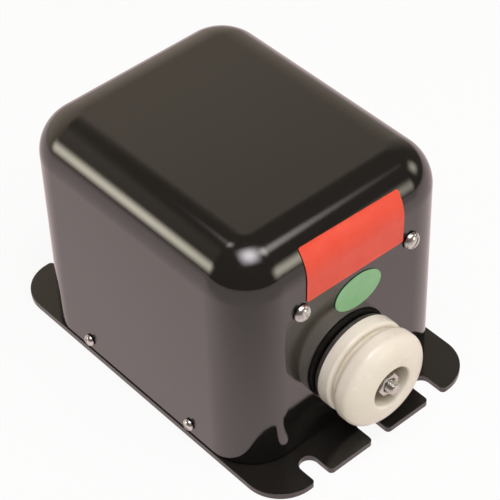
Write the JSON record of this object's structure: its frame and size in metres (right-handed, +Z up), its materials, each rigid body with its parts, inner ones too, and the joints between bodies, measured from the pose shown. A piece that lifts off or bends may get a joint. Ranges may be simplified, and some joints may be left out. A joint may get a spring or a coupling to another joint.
{
  "type": "ignition transformer",
  "caption": "Boxed high-voltage ignition transformer: rounded black steel cover on a slotted base plate, with a porcelain bushing and recessed screw terminal on its front face.",
  "frame": {"origin": "centre of the base plate's underside, midway between the front and rear feet", "axes": "+Z up from the base plate; -Y out of the front face, along the bushing; +X to the right seen from the front"},
  "size_m": [0.0862, 0.1321, 0.0825],
  "materials": {
    "black_paint": "gloss",
    "porcelain": "glazed",
    "gasket_rubber": "matte",
    "zinc_plate": "bright zinc",
    "nickelled_brass": "nickel plate",
    "red_label": "satin",
    "green_label": "satin",
    "core_steel": "oxide",
    "frame_steel": "mill",
    "paper_board": "varnished",
    "enamelled_copper": "varnished",
    "wire_coat": "matte",
    "black_nylon": "matte"
  },
  "bodies": {
    "transformer": {"base_plate": "black_paint", "cover": "black_paint", "cover_bracket_left": "frame_steel", "cover_bracket_right": "frame_steel", "cover_screw_left_front": "zinc_plate", "cover_screw_left_rear": "zinc_plate", "cover_screw_right_front": "zinc_plate", "cover_screw_right_rear": "zinc_plate", "front_screw_left": "zinc_plate", "front_screw_right": "zinc_plate", "hv_bushing": "porcelain", "bushing_gasket": "gasket_rubber", "bushing_clamp": "frame_steel", "bushing_clip": "zinc_plate", "terminal_stud": "nickelled_brass", "stud_washer": "nickelled_brass", "stud_nut": "nickelled_brass", "lead_nut": "nickelled_brass", "hv_lug": "nickelled_brass", "hv_lead": "wire_coat", "red_label": "red_label", "green_label": "green_label", "lead_inlet": "black_nylon", "core_e_stack": "core_steel", "core_i_stack": "core_steel", "shunt_left": "core_steel", "shunt_right": "core_steel", "core_frame_left": "frame_steel", "core_frame_right": "frame_steel", "core_bar_left": "frame_steel", "core_bar_right": "frame_steel", "core_bolt_left_front": "zinc_plate", "core_bolt_left_rear": "zinc_plate", "core_bolt_right_front": "zinc_plate", "core_bolt_right_rear": "zinc_plate", "core_nut_left_front": "zinc_plate", "core_nut_left_rear": "zinc_plate", "core_nut_right_front": "zinc_plate", "core_nut_right_rear": "zinc_plate", "coil_tube": "paper_board", "secondary_cheek_front": "paper_board", "secondary_cheek_rear": "paper_board", "secondary_winding": "enamelled_copper", "primary_winding": "enamelled_copper"},
    "washer": {"terminal_washer": "nickelled_brass"},
    "nut": {"terminal_nut": "nickelled_brass"}
  },
  "joints": [
    {"name": "nut_advance", "type": "slide", "parent": "transformer", "child": "washer", "axis": [0, -1, 0], "range_m": [0, 0.0024]},
    {"name": "nut_turn", "type": "hinge", "parent": "washer", "child": "nut", "pos_m": [0, -0.0502, 0.0262], "axis": [0, -1, 0], "range_deg": [0, 1080]}
  ],
  "couplings": [
    {"joint": "nut_advance", "follows": "nut_turn", "m_per_rad": 0.00012732}
  ]
}
